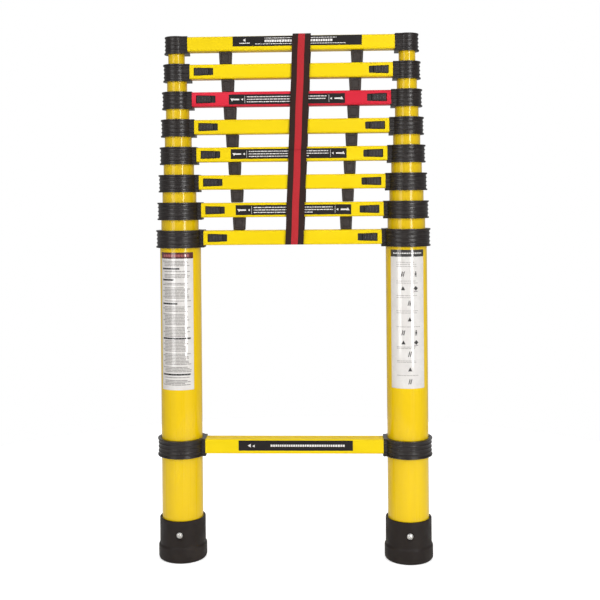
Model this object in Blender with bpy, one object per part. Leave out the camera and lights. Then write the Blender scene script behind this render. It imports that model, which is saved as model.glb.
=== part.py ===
"""A telescoping ladder, closed for carrying: two stiles of eight nested tubes and nine rungs.

The front looks along -Y, +X is to its right, and the floor is at Z = 0, midway between the two feet.
Section 1 is the widest pair of tubes, and it stands on the floor. Sections 2 to 8 slide up out of it.
A rung is fixed to the top of each section, and one more is clamped low down on section 1.
Each piece of the left stile is drawn about its own tube's axis with the rung towards +X, and with
Z = 0 at the middle of its rung. The right stile has mirrored copies.
"""

import math

import bmesh
import bpy
from mathutils import Matrix, Vector

# Driving dimensions, in metres.
SECTIONS = 8
RUNG_SPACING = 0.300  # from rung to rung with a section drawn out
CLOSED_PITCH = 0.0399  # from rung to rung with the ladder closed
BOTTOM_RUNG_HEIGHT = 0.163  # from the floor to the middle of the clamped rung
STILE_X = 0.1635  # from the middle of the ladder to the widest tubes' axes
# Each pair of tubes stands this much further out. It is a fitted value, not a known design feature:
# a real ladder would have coaxial tubes, which is 0 here, with a slightly smaller CLOSED_PITCH.
SPREAD = 0.0005

WIDEST_TUBE_RADIUS = 0.0295
TUBE_STEP = 0.0025  # each tube's outer radius is this much less than the one around it
TUBE_WALL = 0.0015
TUBE_LENGTH = 0.385  # of sections 2 to 8
TUBE_TOP = 0.0085  # a tube's top end, above the middle of its rung

RUNG_HALF_DEPTH = 0.015
RUNG_HALF_HEIGHT = 0.0105
RUNG_WALL = 0.002
RUNG_FRONT_RADIUS = 0.003
RUNG_BACK_RADIUS = 0.008

COLLAR_BOTTOM = -0.0137  # below the middle of the rung
COLLAR_TOP = 0.0115
COLLAR_WALL = 0.0040  # from the tube's outside to the collar's waist
FLANGE_WALL = 0.0055  # from the tube's outside to the collar's two flanges
FLANGE_HEIGHT = 0.0022
CAP_ROOF = 0.003

PIN_RADIUS = 0.0035
PIN_END = 0.020  # the lock pin's inner end, past the rung's end
WINDOW = (0.006, 0.034, 0.006)  # start and end past the rung's end, and half height
GRIP = (0.007, 0.027, 0.0054)  # the same three sizes of the thumb grip in that window
GRIP_PROUD = 0.0008
PLATE = (0.0006, 0.037, 0.0069)  # the same of the sliding plate behind it
PLATE_THICKNESS = 0.0022
POST = (0.013, 0.019, 0.0025)  # the same of the post from the plate to the pin
PLUG_LENGTH = 0.012  # how far a collar reaches into its rung
PLUG_Y = (-0.0096, 0.0085)
PLUG_HALF_HEIGHT = 0.0072

STOP_START = 0.045  # from the rung's end to its rubber stop
STOP_WIDTH = 0.018
STOP_HALF_DEPTH = 0.009

FOOT_HEIGHT = 0.060
FOOT_SOLE = 0.006
FOOT_SOLE_RADIUS = 0.0325
FOOT_TREAD_RADIUS = 0.0348
FOOT_SLEEVE_RADIUS = 0.0330

STRAP_WIDTH = 0.026
STRAP_THICKNESS = 0.0016
STRAP_TOP_X = 0.0148  # the strap's middle where it crosses the top rung
STRAP_SLOPE = 0.044  # how far it leans sideways for each metre down, in metres
STRAP_LEG = 0.300  # from the top of the top rung to the end of each leg
STRAP_SPREAD = 0.0020  # how much further out each leg's end is, over the strap's other half

GAP = 0.0003  # between faces that touch
RUNNING_GAP = 0.0004  # around a pin or a plate that slides

# Shades of the materials: colour, roughness and metallic.
MATERIALS = {
    "stile_yellow": ((0.87, 0.60, 0.004), 0.28, 0.0),
    "rung_yellow": ((0.93, 0.66, 0.004), 0.38, 0.0),
    "rung_red": ((0.66, 0.02, 0.04), 0.38, 0.0),
    "collar_black": ((0.030, 0.026, 0.028), 0.42, 0.0),
    "slider_black": ((0.022, 0.020, 0.021), 0.5, 0.0),
    "foot_rubber": ((0.020, 0.018, 0.016), 0.7, 0.0),
    "strap_webbing": ((0.025, 0.018, 0.018), 0.85, 0.0),
}
RED_SECTION = 6  # the highest rung that may be stood on


def tube_radius(section):
    return WIDEST_TUBE_RADIUS - TUBE_STEP * (section - 1)


def rung_height(section):
    """The middle of a section's rung above the floor, with the ladder closed."""
    return BOTTOM_RUNG_HEIGHT + RUNG_SPACING + CLOSED_PITCH * (section - 1)


def stile_x(section):
    """From the middle of the ladder to the axis of a section's tubes."""
    return STILE_X + SPREAD * (section - 1)


def rung_end(section):
    """From a stile's axis to where the rung starts."""
    return tube_radius(section) + FLANGE_WALL + GAP


def facets(section):
    """How many sides a section's round pieces have. Every tube has a corner towards its rung."""
    return 24 if section <= 4 else 16


# Meshes from bmesh operators


def mesh_from(bm, name):
    bmesh.ops.remove_doubles(bm, verts=bm.verts, dist=1e-6)
    bmesh.ops.recalc_face_normals(bm, faces=bm.faces)
    mesh = bpy.data.meshes.new(name)
    bm.to_mesh(mesh)
    bm.free()
    return mesh


def turned(profile, sides, closed=False):
    """A mesh turned about Z from (radius, height) points. A closed profile makes a ring, and
    an open one gets a flat face at each end."""
    bm = bmesh.new()
    points = [bm.verts.new((radius, 0, height)) for radius, height in profile]
    ends = zip(points, points[1:] + points[:1]) if closed else zip(points, points[1:])
    edges = [bm.edges.new(pair) for pair in ends]
    bmesh.ops.spin(
        bm, geom=points + edges, cent=(0, 0, 0), axis=(0, 0, 1),
        angle=2 * math.pi, steps=sides, use_merge=True,
    )
    if not closed:
        bmesh.ops.holes_fill(bm, edges=bm.edges)
    return mesh_from(bm, "turned")


def box(x, y, z):
    """A block between two values along each axis."""
    bm = bmesh.new()
    size = Vector((x[1] - x[0], y[1] - y[0], z[1] - z[0]))
    middle = Vector((x[0] + x[1], y[0] + y[1], z[0] + z[1])) / 2
    bmesh.ops.create_cube(bm, size=1, matrix=Matrix.Translation(middle) @ Matrix.Diagonal((*size, 1)))
    return mesh_from(bm, "box")


def rod(radius, start, end, sides=8):
    """A round bar along X."""
    bm = bmesh.new()
    bmesh.ops.create_cone(
        bm, cap_ends=True, segments=sides, radius1=radius, radius2=radius, depth=end - start,
        matrix=Matrix.Translation(((start + end) / 2, 0, 0))
        @ Matrix.Rotation(math.pi / 2, 4, "Y")
        @ Matrix.Rotation(math.pi / sides, 4, "Z"),
    )
    return mesh_from(bm, "rod")


def rung_outline(inset=0.0):
    """(y, z) points round a rung's section: a flat front with small corners and a rounder back."""
    depth, height = RUNG_HALF_DEPTH - inset, RUNG_HALF_HEIGHT - inset
    corners = (  # side in y, side in z, radius, first angle and steps
        (-1, -1, RUNG_FRONT_RADIUS, 180, 1),
        (1, -1, RUNG_BACK_RADIUS, 270, 3),
        (1, 1, RUNG_BACK_RADIUS, 0, 3),
        (-1, 1, RUNG_FRONT_RADIUS, 90, 1),
    )
    points = []
    for side_y, side_z, radius, first, steps in corners:
        radius -= inset
        for step in range(steps + 1):
            angle = math.radians(first + 90 * step / steps)
            points.append((
                side_y * (depth - radius) + radius * math.cos(angle),
                side_z * (height - radius) + radius * math.sin(angle),
            ))
    return points


def bar(outline, start, end):
    """A solid bar along X with that (y, z) outline."""
    bm = bmesh.new()
    loops = []
    for x in (start, end):
        ring = [bm.verts.new((x, y, z)) for y, z in outline]
        loops += [bm.edges.new(pair) for pair in zip(ring, ring[1:] + ring[:1])]
    bmesh.ops.bridge_loops(bm, edges=loops)
    bmesh.ops.holes_fill(bm, edges=bm.edges)
    return mesh_from(bm, "bar")


def moved(mesh, offset):
    mesh.transform(Matrix.Translation(offset))
    return mesh


def mirrored(mesh):
    """The right stile's copy of a left stile's mesh."""
    copy = mesh.copy()
    copy.transform(Matrix.Diagonal((-1, 1, 1, 1)))
    copy.flip_normals()
    return copy


def combined(mesh, operation, *tools):
    """The mesh after a Boolean with each tool in turn."""
    for tool in tools:
        base = bpy.data.objects.new("base", mesh)
        cutter = bpy.data.objects.new("cutter", tool)
        for helper in (base, cutter):
            bpy.context.scene.collection.objects.link(helper)
        modifier = base.modifiers.new("combine", "BOOLEAN")
        modifier.operation = operation
        modifier.solver = "EXACT"
        modifier.object = cutter
        graph = bpy.context.evaluated_depsgraph_get()
        mesh = bpy.data.meshes.new_from_object(base.evaluated_get(graph))
        for helper in (base, cutter):
            bpy.data.objects.remove(helper)
        bm = bmesh.new()
        bm.from_mesh(mesh)
        bmesh.ops.dissolve_degenerate(bm, dist=1e-5, edges=bm.edges)
        mesh = mesh_from(bm, "combined")
    return mesh


# The ladder's pieces, each a mesh about its own tube's axis


def tube(section):
    """A tube with a hole for its own section's lock pin and, lower down, one for the pin below."""
    outer = tube_radius(section)
    inner = outer - TUBE_WALL
    bottom = FOOT_SOLE + GAP - rung_height(1) if section == 1 else TUBE_TOP - TUBE_LENGTH
    profile = [(inner, bottom), (outer, bottom), (outer, TUBE_TOP), (inner, TUBE_TOP)]
    mesh = turned(profile, facets(section), closed=True)
    holes = []
    if section < SECTIONS:
        holes.append(0.0)
    if section > 1:
        holes.append(-RUNG_SPACING)
    for height in holes:
        cutter = rod(PIN_RADIUS + RUNNING_GAP, inner * 0.8, outer * 1.2)
        mesh = combined(mesh, "DIFFERENCE", moved(cutter, (0, 0, height)))
    return mesh


def collar(section, locks=True):
    """A spool round the top of a tube, with a shoulder and a plug that carry the rung's end."""
    radius = tube_radius(section)
    waist, flange, end = radius + COLLAR_WALL, radius + FLANGE_WALL, rung_end(section)
    spool = turned(
        [
            (flange, COLLAR_BOTTOM),
            (flange, COLLAR_BOTTOM + FLANGE_HEIGHT),
            (waist, COLLAR_BOTTOM + FLANGE_HEIGHT),
            (waist, COLLAR_TOP - FLANGE_HEIGHT),
            (flange, COLLAR_TOP - FLANGE_HEIGHT),
            (flange, COLLAR_TOP),
        ],
        facets(section),
    )
    spool = combined(spool, "UNION", *rung_seat(end))
    bore = turned(
        [(radius + GAP, -0.02), (radius + GAP, 0.02)],
        facets(section),
    )
    spool = combined(spool, "DIFFERENCE", bore)
    if locks:
        pin_hole = rod(PIN_RADIUS + RUNNING_GAP, radius * 0.5, end + 2 * PLUG_LENGTH)
        spool = combined(spool, "DIFFERENCE", pin_hole)
    return spool


def rung_seat(end):
    """The shoulder that a rung's end meets and the plug that goes inside it."""
    shoulder = bar(rung_outline(), 0, end)
    plug = box((end / 2, end + PLUG_LENGTH), PLUG_Y, (-PLUG_HALF_HEIGHT, PLUG_HALF_HEIGHT))
    return shoulder, plug


def top_cap():
    """A closed collar over the narrowest tube's top."""
    radius = tube_radius(SECTIONS)
    waist, flange = radius + COLLAR_WALL, radius + FLANGE_WALL
    top = TUBE_TOP + GAP + CAP_ROOF
    chamfer = 0.002
    cap = turned(
        [
            (flange, COLLAR_BOTTOM),
            (flange, COLLAR_BOTTOM + FLANGE_HEIGHT),
            (waist, COLLAR_BOTTOM + FLANGE_HEIGHT),
            (waist, top - chamfer),
            (waist - chamfer, top),
        ],
        facets(SECTIONS),
    )
    cap = combined(cap, "UNION", *rung_seat(rung_end(SECTIONS)))
    bore = turned(
        [(radius + GAP, -0.02), (radius + GAP, TUBE_TOP + GAP)],
        facets(SECTIONS),
    )
    return combined(cap, "DIFFERENCE", bore)


def rung(section, windows=True, stops=True):
    """A hollow rung between the middle planes, with windows for the grips and stops under it."""
    half_length = stile_x(section) - rung_end(section) - GAP
    hollow = bar(rung_outline(RUNG_WALL), -stile_x(section), stile_x(section))
    mesh = combined(bar(rung_outline(), -half_length, half_length), "DIFFERENCE", hollow)
    start, end, half_height = WINDOW
    for side in (-1, 1):
        if windows:
            reach = sorted(side * (half_length + GAP - u) for u in (start, end))
            mouth = box(reach, (-0.02, -0.012), (-half_height, half_height))
            mesh = combined(mesh, "DIFFERENCE", mouth)
        if stops:
            reach = sorted(side * (half_length + GAP - STOP_START - u) for u in (0, STOP_WIDTH))
            drop = CLOSED_PITCH - RUNG_HALF_HEIGHT - GAP
            stop = box(reach, (-STOP_HALF_DEPTH, STOP_HALF_DEPTH), (-drop, -RUNG_HALF_HEIGHT + RUNG_WALL / 2))
            mesh = combined(mesh, "UNION", stop)
    return mesh


def lock_slider(section):
    """The thumb grip, the plate that it slides on, and the lock pin that they pull back."""
    end = rung_end(section)
    tip = tube_radius(section + 1) + GAP - SPREAD
    pin = rod(PIN_RADIUS, tip, end + PIN_END)
    front = -RUNG_HALF_DEPTH + RUNG_WALL + RUNNING_GAP
    back = front + PLATE_THICKNESS

    def block(sizes, y):
        return box((end + sizes[0], end + sizes[1]), y, (-sizes[2], sizes[2]))

    plate = block(PLATE, (front, back))
    grip = block(GRIP, (-RUNG_HALF_DEPTH - GRIP_PROUD, front + RUNNING_GAP))
    post = block(POST, (back - RUNNING_GAP, 0))
    return combined(pin, "UNION", post, plate, grip)


def foot():
    """A rubber boot that holds the widest tube's lower end, with the floor at Z = 0."""
    bore = WIDEST_TUBE_RADIUS + GAP
    edge = 0.005
    step = 0.021
    return turned(
        [
            (FOOT_SOLE_RADIUS, 0),
            (FOOT_TREAD_RADIUS, edge),
            (FOOT_TREAD_RADIUS, step),
            (FOOT_SLEEVE_RADIUS, step + FOOT_TREAD_RADIUS - FOOT_SLEEVE_RADIUS),
            (FOOT_SLEEVE_RADIUS, FOOT_HEIGHT),
            (bore, FOOT_HEIGHT),
            (bore, FOOT_SOLE),
        ],
        facets(1),
    )


def strap():
    """The half of the carrying strap that hangs over the top rung, with Z = 0 at that rung's middle."""
    inner = RUNG_HALF_DEPTH + 2 * GAP
    top = RUNG_HALF_HEIGHT + 2 * GAP
    low = RUNG_HALF_HEIGHT - STRAP_LEG
    outer_side = [(inner + STRAP_SPREAD + STRAP_THICKNESS, low), (inner + STRAP_THICKNESS, top - 0.004)]
    outer_side += [(inner - 0.001, top + STRAP_THICKNESS)]
    inner_side = [(inner - 0.001, top), (inner, top - 0.001), (inner + STRAP_SPREAD, low)]
    half = outer_side + inner_side
    outline = [(-y, z) for y, z in half[:3]] + [(y, z) for y, z in reversed(half[:3])]
    outline += [(y, z) for y, z in reversed(half[3:])] + [(-y, z) for y, z in half[3:]]
    mesh = bar(outline, -STRAP_WIDTH / 2, STRAP_WIDTH / 2)
    for corner in mesh.vertices:
        corner.co.x += STRAP_TOP_X + STRAP_SLOPE * (corner.co.z - top)
    return mesh


# The assembly


def empty(name, location, parent=None):
    made = bpy.data.objects.new(name, None)
    made.location = location
    made.parent = parent
    bpy.context.scene.collection.objects.link(made)
    return made


def material(slot):
    found = bpy.data.materials.get(slot)
    if found:
        return found
    colour, roughness, metallic = MATERIALS[slot]
    made = bpy.data.materials.new(slot)
    made.use_nodes = True
    shader = made.node_tree.nodes["Principled BSDF"]
    shader.inputs["Base Color"].default_value = (*colour, 1)
    shader.inputs["Roughness"].default_value = roughness
    shader.inputs["Metallic"].default_value = metallic
    made.diffuse_color = (*colour, 1)
    return made


def add(name, mesh, slot, parent, location=(0, 0, 0)):
    mesh.name = name
    mesh.materials.clear()
    mesh.materials.append(material(slot))
    mesh.shade_smooth()
    mesh.set_sharp_from_angle(angle=math.radians(35))
    made = bpy.data.objects.new(name, mesh)
    made.parent = parent
    made.location = location
    bpy.context.scene.collection.objects.link(made)


def add_pair(name, mesh, slot, parent, x, height=0.0):
    """The left stile's piece and its mirrored copy on the right stile."""
    add(f"{name}_left", mesh, slot, parent, (-x, 0, height))
    add(f"{name}_right", mirrored(mesh), slot, parent, (x, 0, height))


def add_section(section):
    """One section's tubes, rung and collars or caps, and its sliders, under one empty."""
    body = empty(f"section_{section}", (0, 0, rung_height(section)))
    x = stile_x(section)
    add_pair(f"tube_{section}", tube(section), "stile_yellow", body, x)
    top = section == SECTIONS
    slot = "rung_red" if section == RED_SECTION else "rung_yellow"
    rung_mesh = rung(section, windows=not top, stops=section > 1)
    add("top_rung" if top else f"rung_{section}", rung_mesh, slot, body)
    if top:
        add_pair("top_cap", top_cap(), "collar_black", body, x)
        add("carry_strap", strap(), "strap_webbing", body)
        return body
    add_pair(f"collar_{section}", collar(section), "collar_black", body, x)
    slider = lock_slider(section)
    for side, mesh, place in (("left", slider, -x), ("right", mirrored(slider), x)):
        axis = empty(f"pin_axis_{section}_{side}", (place, 0, 0), body)
        add(f"lock_slider_{section}_{side}", mesh, "slider_black", axis)
    return body


def add_base(body):
    """The clamped rung and the feet, on the lowest section."""
    height = BOTTOM_RUNG_HEIGHT - rung_height(1)
    add("bottom_rung", rung(1, windows=False, stops=False), "rung_yellow", body, (0, 0, height))
    add_pair("bottom_clamp", collar(1, locks=False), "collar_black", body, STILE_X, height)
    add_pair("foot", foot(), "foot_rubber", body, STILE_X, -rung_height(1))


def main():
    for old in list(bpy.data.objects):
        bpy.data.objects.remove(old)
    for section in range(1, SECTIONS + 1):
        body = add_section(section)
        if section == 1:
            add_base(body)


main()
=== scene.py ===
import math
import random

import bmesh
import bpy
from mathutils import Matrix, Vector


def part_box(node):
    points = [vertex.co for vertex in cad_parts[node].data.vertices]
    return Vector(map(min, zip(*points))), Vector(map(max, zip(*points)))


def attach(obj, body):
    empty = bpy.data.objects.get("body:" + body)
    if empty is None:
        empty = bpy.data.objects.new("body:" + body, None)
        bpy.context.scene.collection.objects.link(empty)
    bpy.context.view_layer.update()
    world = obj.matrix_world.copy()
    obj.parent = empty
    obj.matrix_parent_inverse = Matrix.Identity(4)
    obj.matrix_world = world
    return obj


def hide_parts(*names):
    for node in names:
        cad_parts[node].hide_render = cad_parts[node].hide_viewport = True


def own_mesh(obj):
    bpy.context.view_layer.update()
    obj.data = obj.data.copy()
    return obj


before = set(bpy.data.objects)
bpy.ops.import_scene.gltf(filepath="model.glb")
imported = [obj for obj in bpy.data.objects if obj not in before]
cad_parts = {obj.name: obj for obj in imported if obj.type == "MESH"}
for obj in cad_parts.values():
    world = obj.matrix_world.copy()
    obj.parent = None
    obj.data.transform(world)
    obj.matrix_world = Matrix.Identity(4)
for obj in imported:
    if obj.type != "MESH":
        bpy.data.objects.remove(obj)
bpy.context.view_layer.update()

# Everything is in metres. Pieces of the left stile are drawn about their own tube's axis, with the
# rung towards +X and with Z = 0 at the middle of the rung. The right stile has mirrored copies.
SECTIONS = 8
SIDES = ("left", "right")
SMOOTH = 96  # steps round a tube or a collar

RUNG_HALF_DEPTH = 0.015
RUNG_HALF_HEIGHT = 0.0105
RUNG_WALL = 0.002
COLLAR_BOTTOM, COLLAR_TOP = -0.0137, 0.0115
WAIST, FLANGE = 0.0039, 0.0055  # how far a collar stands out from its tube
FLANGE_HEIGHT = 0.0023
RIB_HEIGHT, RIB_HALF_WIDTH = 0.0009, 0.0012
GAP = 0.0003
TUBE_WALL = 0.0015
RUNG_SPACING = 0.300
PANEL_WIDTH = 0.0525
PRINT = 0.00016  # how far a panel's printed marks stand proud
HEADING_PRINT = 0.00022  # the same, for marks on a heading band
STRAP_WIDTH = 0.0262
OVERLAP_BOTTOM = 0.589  # where the strap's second layer starts
SPRING_START, SPRING_END = 0.0195, 0.038  # from the rung's end


class Stile:
    """Where one section's tube stands on one side, read from its solid."""

    def __init__(self, section, side):
        low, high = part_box(f"tube_{section}_{side}")
        self.section, self.side = section, side
        self.body = "base" if section == 1 else f"section_{section}"
        self.x = (low.x + high.x) / 2
        self.radius = (high.y - low.y) / 2
        self.bottom, self.top = low.z, high.z
        self.z = rung_middle(section)
        self.end = self.radius + FLANGE + GAP  # where the rung starts


def rung_name(section):
    return "top_rung" if section == SECTIONS else f"rung_{section}"


def rung_middle(section):
    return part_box(rung_name(section))[1].z - RUNG_HALF_HEIGHT


# Shapes


def cleaned(bm):
    bmesh.ops.remove_doubles(bm, verts=bm.verts, dist=1e-6)
    bmesh.ops.recalc_face_normals(bm, faces=bm.faces)
    return bm


def turned(profile, closed=False, steps=SMOOTH):
    """A shape turned about Z from (radius, height) points: a ring, or a solid with flat ends."""
    bm = bmesh.new()
    points = [bm.verts.new((radius, 0, height)) for radius, height in profile]
    edges = [bm.edges.new(pair) for pair in zip(points, points[1:])]
    if closed:
        edges.append(bm.edges.new((points[-1], points[0])))
    bmesh.ops.spin(
        bm, geom=points + edges, cent=(0, 0, 0), axis=(0, 0, 1),
        angle=2 * math.pi, steps=steps, use_merge=True,
    )
    if not closed:
        bmesh.ops.holes_fill(bm, edges=bm.edges)
    return cleaned(bm)


def extruded(outline, start, end):
    """A solid bar along X with that (y, z) outline."""
    bm = bmesh.new()
    face = bm.faces.new([bm.verts.new((start, y, z)) for y, z in outline])
    far = bmesh.ops.extrude_face_region(bm, geom=[face])["geom"]
    corners = [item for item in far if isinstance(item, bmesh.types.BMVert)]
    bmesh.ops.translate(bm, verts=corners, vec=(end - start, 0, 0))
    return cleaned(bm)


def block(x, y, z, bevel=0.0, segments=3, taper=1.0):
    """A block between two values along each axis. taper narrows its +X end in Z."""
    bm = bmesh.new()
    size = Vector((x[1] - x[0], y[1] - y[0], z[1] - z[0]))
    middle = Vector((x[0] + x[1], y[0] + y[1], z[0] + z[1])) / 2
    bmesh.ops.create_cube(bm, size=1, matrix=Matrix.Translation(middle) @ Matrix.Diagonal((*size, 1)))
    if taper != 1.0:
        far = [corner for corner in bm.verts if corner.co.x > middle.x]
        bmesh.ops.scale(bm, verts=far, vec=(1, 1, taper), space=Matrix.Translation(-middle))
    if bevel:
        bmesh.ops.bevel(
            bm, geom=bm.edges, offset=bevel, offset_type="OFFSET", affect="EDGES",
            segments=segments, profile=0.5, material=-1,
        )
    return cleaned(bm)


def rod(profile, steps=32):
    """A turned bar along +X from (radius, distance) points."""
    bm = turned(profile, steps=steps)
    bmesh.ops.rotate(bm, verts=bm.verts, cent=(0, 0, 0), matrix=Matrix.Rotation(math.pi / 2, 3, "Y"))
    return bm


def as_mesh(bm):
    mesh = bpy.data.meshes.new("shape")
    bm.to_mesh(mesh)
    bm.free()
    return mesh


def combined(bm, operation, *tools):
    """The shape after a Boolean with each tool in turn."""
    for tool in tools:
        base, cutter = (bpy.data.objects.new("shape", as_mesh(shape)) for shape in (bm, tool))
        for helper in (base, cutter):
            bpy.context.scene.collection.objects.link(helper)
        modifier = base.modifiers.new("combine", "BOOLEAN")
        modifier.operation, modifier.solver, modifier.object = operation, "EXACT", cutter
        graph = bpy.context.evaluated_depsgraph_get()
        mesh = bpy.data.meshes.new_from_object(base.evaluated_get(graph))
        for helper in (base, cutter):
            bpy.data.objects.remove(helper)
        bm = bmesh.new()
        bm.from_mesh(mesh)
        bmesh.ops.dissolve_degenerate(bm, dist=1e-6, edges=bm.edges)
        cleaned(bm)
    return bm


def moved(bm, *offset):
    bmesh.ops.translate(bm, verts=bm.verts, vec=offset)
    return bm


def mirrored(bm):
    bmesh.ops.scale(bm, verts=bm.verts, vec=(-1, 1, 1))
    bmesh.ops.reverse_faces(bm, faces=bm.faces)
    return bm


def at_stile(bm, stile, z=None):
    """A copy of a left-hand shape at its stile, mirrored on the right."""
    copy = bm.copy()
    if stile.side == "right":
        mirrored(copy)
    return moved(copy, stile.x, 0, stile.z if z is None else z)


def piece(name, bm, body, *materials, replaces=(), slot=None, sharp=32, even=True):
    """A finished piece that rides on a body, with its place in its mesh."""
    mesh = as_mesh(bm)
    mesh.name = name
    for material in materials:
        mesh.materials.append(material)
    mesh.shade_smooth()
    mesh.set_sharp_from_angle(angle=math.radians(sharp))
    made = bpy.data.objects.new(name, mesh)
    bpy.context.scene.collection.objects.link(made)
    if even:
        made.modifiers.new("even_shading", "WEIGHTED_NORMAL").keep_sharp = True
    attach(made, body)
    if replaces:
        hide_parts(*replaces)
    return made


# Materials


class Finish:
    """A material on a piece's own coordinates, with the nodes that give it its detail."""

    def __init__(self, name, colour, roughness, metallic=0.0, **sockets):
        self.material = bpy.data.materials.new(name)
        self.material.use_nodes = True
        self.tree = self.material.node_tree
        self.shader = self.tree.nodes["Principled BSDF"]
        self.material.diffuse_color = (*colour, 1)
        values = {"Base Color": (*colour, 1), "Roughness": roughness, "Metallic": metallic}
        for socket, value in {**values, **sockets}.items():
            self.shader.inputs[socket].default_value = value

    def link(self, output, node, socket):
        self.tree.links.new(output, node.inputs[socket])

    def coordinates(self, stretch=(1, 1, 1), uv=False):
        source = self.tree.nodes.new("ShaderNodeTexCoord")
        mapping = self.tree.nodes.new("ShaderNodeMapping")
        mapping.inputs["Scale"].default_value = stretch
        self.link(source.outputs["UV" if uv else "Object"], mapping, "Vector")
        return mapping.outputs["Vector"]

    def noise(self, scale, detail=3.0, stretch=(1, 1, 1), uv=False):
        noise = self.tree.nodes.new("ShaderNodeTexNoise")
        noise.inputs["Scale"].default_value = scale
        noise.inputs["Detail"].default_value = detail
        self.link(self.coordinates(stretch, uv), noise, "Vector")
        return noise.outputs["Fac"]

    def spread(self, source, low, high, start=0.0, stop=1.0):
        """A value from low to high as the source goes from start to stop."""
        ranged = self.tree.nodes.new("ShaderNodeMapRange")
        for socket, value in (
            ("From Min", start), ("From Max", stop), ("To Min", low), ("To Max", high),
        ):
            ranged.inputs[socket].default_value = value
        self.link(source, ranged, "Value")
        return ranged.outputs["Result"]

    def mixed(self, factor, first, second):
        """A colour between two, each a colour or another node's output."""
        mix = self.tree.nodes.new("ShaderNodeMix")
        mix.data_type = "RGBA"
        self.link(factor, mix, 0)
        for index, colour in ((6, first), (7, second)):
            if isinstance(colour, bpy.types.NodeSocket):
                self.link(colour, mix, index)
            else:
                mix.inputs[index].default_value = (*colour, 1)
        return mix.outputs[2]

    def maths(self, operation, *values):
        node = self.tree.nodes.new("ShaderNodeMath")
        node.operation = operation
        for index, value in enumerate(values):
            if isinstance(value, bpy.types.NodeSocket):
                self.link(value, node, index)
            else:
                node.inputs[index].default_value = value
        return node.outputs[0]

    def colour(self, output):
        self.link(output, self.shader, "Base Color")

    def roughness(self, output):
        self.link(output, self.shader, "Roughness")

    def bump(self, height, distance, strength=1.0):
        node = self.tree.nodes.new("ShaderNodeBump")
        node.inputs["Distance"].default_value = distance
        node.inputs["Strength"].default_value = strength
        self.link(height, node, "Height")
        for links in self.shader.inputs["Normal"].links:
            self.link(links.from_socket, node, "Normal")
        self.link(node.outputs["Normal"], self.shader, "Normal")


def tube_enamel():
    """Glossy yellow over drawn tube: long faint streaks, and fine rubbing marks from sliding."""
    finish = Finish(
        "tube_enamel", (0.81, 0.545, 0.0), 0.3,
        **{"Coat Weight": 0.60, "Coat Roughness": 0.07, "Specular IOR Level": 0.12},
    )
    streaks = finish.noise(90, 5, (1, 1, 0.02))
    clouds = finish.noise(14, 2)
    warm = finish.mixed(finish.spread(streaks, 0, 1, 0.35, 0.65), (0.79, 0.525, 0.0), (0.83, 0.56, 0.0))
    finish.colour(finish.mixed(finish.spread(clouds, 0, 0.5, 0.4, 0.7), warm, (0.785, 0.51, 0.0)))
    rubs = finish.noise(420, 3, (1, 1, 0.012))
    finish.roughness(finish.spread(rubs, 0.25, 0.42, 0.35, 0.7))
    finish.bump(streaks, 0.00002, 0.12)
    return finish.material


def rung_paint(name, colour, shade, light):
    """Powder coat on an extruded rung: a fine orange peel, clouded a little by handling."""
    finish = Finish(name, colour, 0.36, **{"Specular IOR Level": 0.2})
    clouds = finish.noise(22, 3, (0.35, 1, 1))
    finish.colour(finish.mixed(finish.spread(clouds, 0, 1, 0.38, 0.66), shade, light))
    peel = finish.noise(1500, 2)
    finish.roughness(finish.spread(finish.noise(60, 4, (0.2, 1, 1)), 0.30, 0.46, 0.35, 0.65))
    finish.bump(peel, 0.00005, 0.4)
    drawing = finish.noise(500, 3, (0.01, 1, 1))
    finish.bump(drawing, 0.00003, 0.3)
    return finish.material


def moulded_plastic(name, colour, worn, grain=2600, low=0.26, high=0.40):
    """Black moulded plastic: spark-eroded grain, with paler scuffs and a little dust."""
    finish = Finish(name, colour, 0.42, **{"Specular IOR Level": 0.5})
    scuffs = finish.noise(160, 6)
    finish.colour(finish.mixed(finish.spread(scuffs, 0, 0.8, 0.52, 0.74), colour, worn))
    finish.roughness(finish.spread(finish.noise(48, 4), low, high, 0.35, 0.65))
    finish.bump(finish.noise(grain, 2), 0.00008, 0.5)
    return finish.material


def foot_rubber():
    """Dense black-brown rubber: matt, with fine pits and dusty patches low down."""
    finish = Finish("foot_rubber", (0.014, 0.0095, 0.0075), 0.5, **{"Specular IOR Level": 0.25})
    dust = finish.noise(35, 5)
    dusty = finish.spread(dust, 0, 0.7, 0.5, 0.75)
    finish.colour(finish.mixed(dusty, (0.013, 0.0085, 0.007), (0.030, 0.023, 0.019)))
    finish.roughness(finish.spread(finish.noise(70, 3), 0.42, 0.62, 0.35, 0.65))
    finish.bump(finish.noise(1900, 3), 0.0001, 0.4)
    return finish.material


def printed_film(name, colour, shade, roughness=0.3, gloss=1.0):
    """Printed vinyl film, slightly uneven where it was smoothed down."""
    finish = Finish(
        name, colour, roughness,
        **{"Specular IOR Level": 0.3, "Coat Weight": gloss, "Coat Roughness": 0.05, "Coat IOR": 1.7},
    )
    finish.colour(finish.mixed(finish.spread(finish.noise(40, 3), 0, 1, 0.35, 0.7), colour, shade))
    finish.roughness(finish.spread(finish.noise(120, 3), roughness - 0.06, roughness + 0.08, 0.35, 0.65))
    finish.bump(finish.noise(70, 2), 0.0001, 0.15)
    return finish.material


def plated_steel(name, colour=(0.72, 0.71, 0.69), scale=900):
    """Zinc-plated steel with fine tool marks."""
    finish = Finish(name, colour, 0.25, 1.0)
    marks = finish.noise(scale, 3)
    dulled = finish.spread(finish.noise(260, 4), 0, 0.6, 0.4, 0.7)
    finish.colour(finish.mixed(dulled, colour, (0.45, 0.44, 0.42)))
    finish.roughness(finish.spread(marks, 0.2, 0.38, 0.35, 0.65))
    finish.bump(marks, 0.00003, 0.3)
    return finish.material


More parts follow.
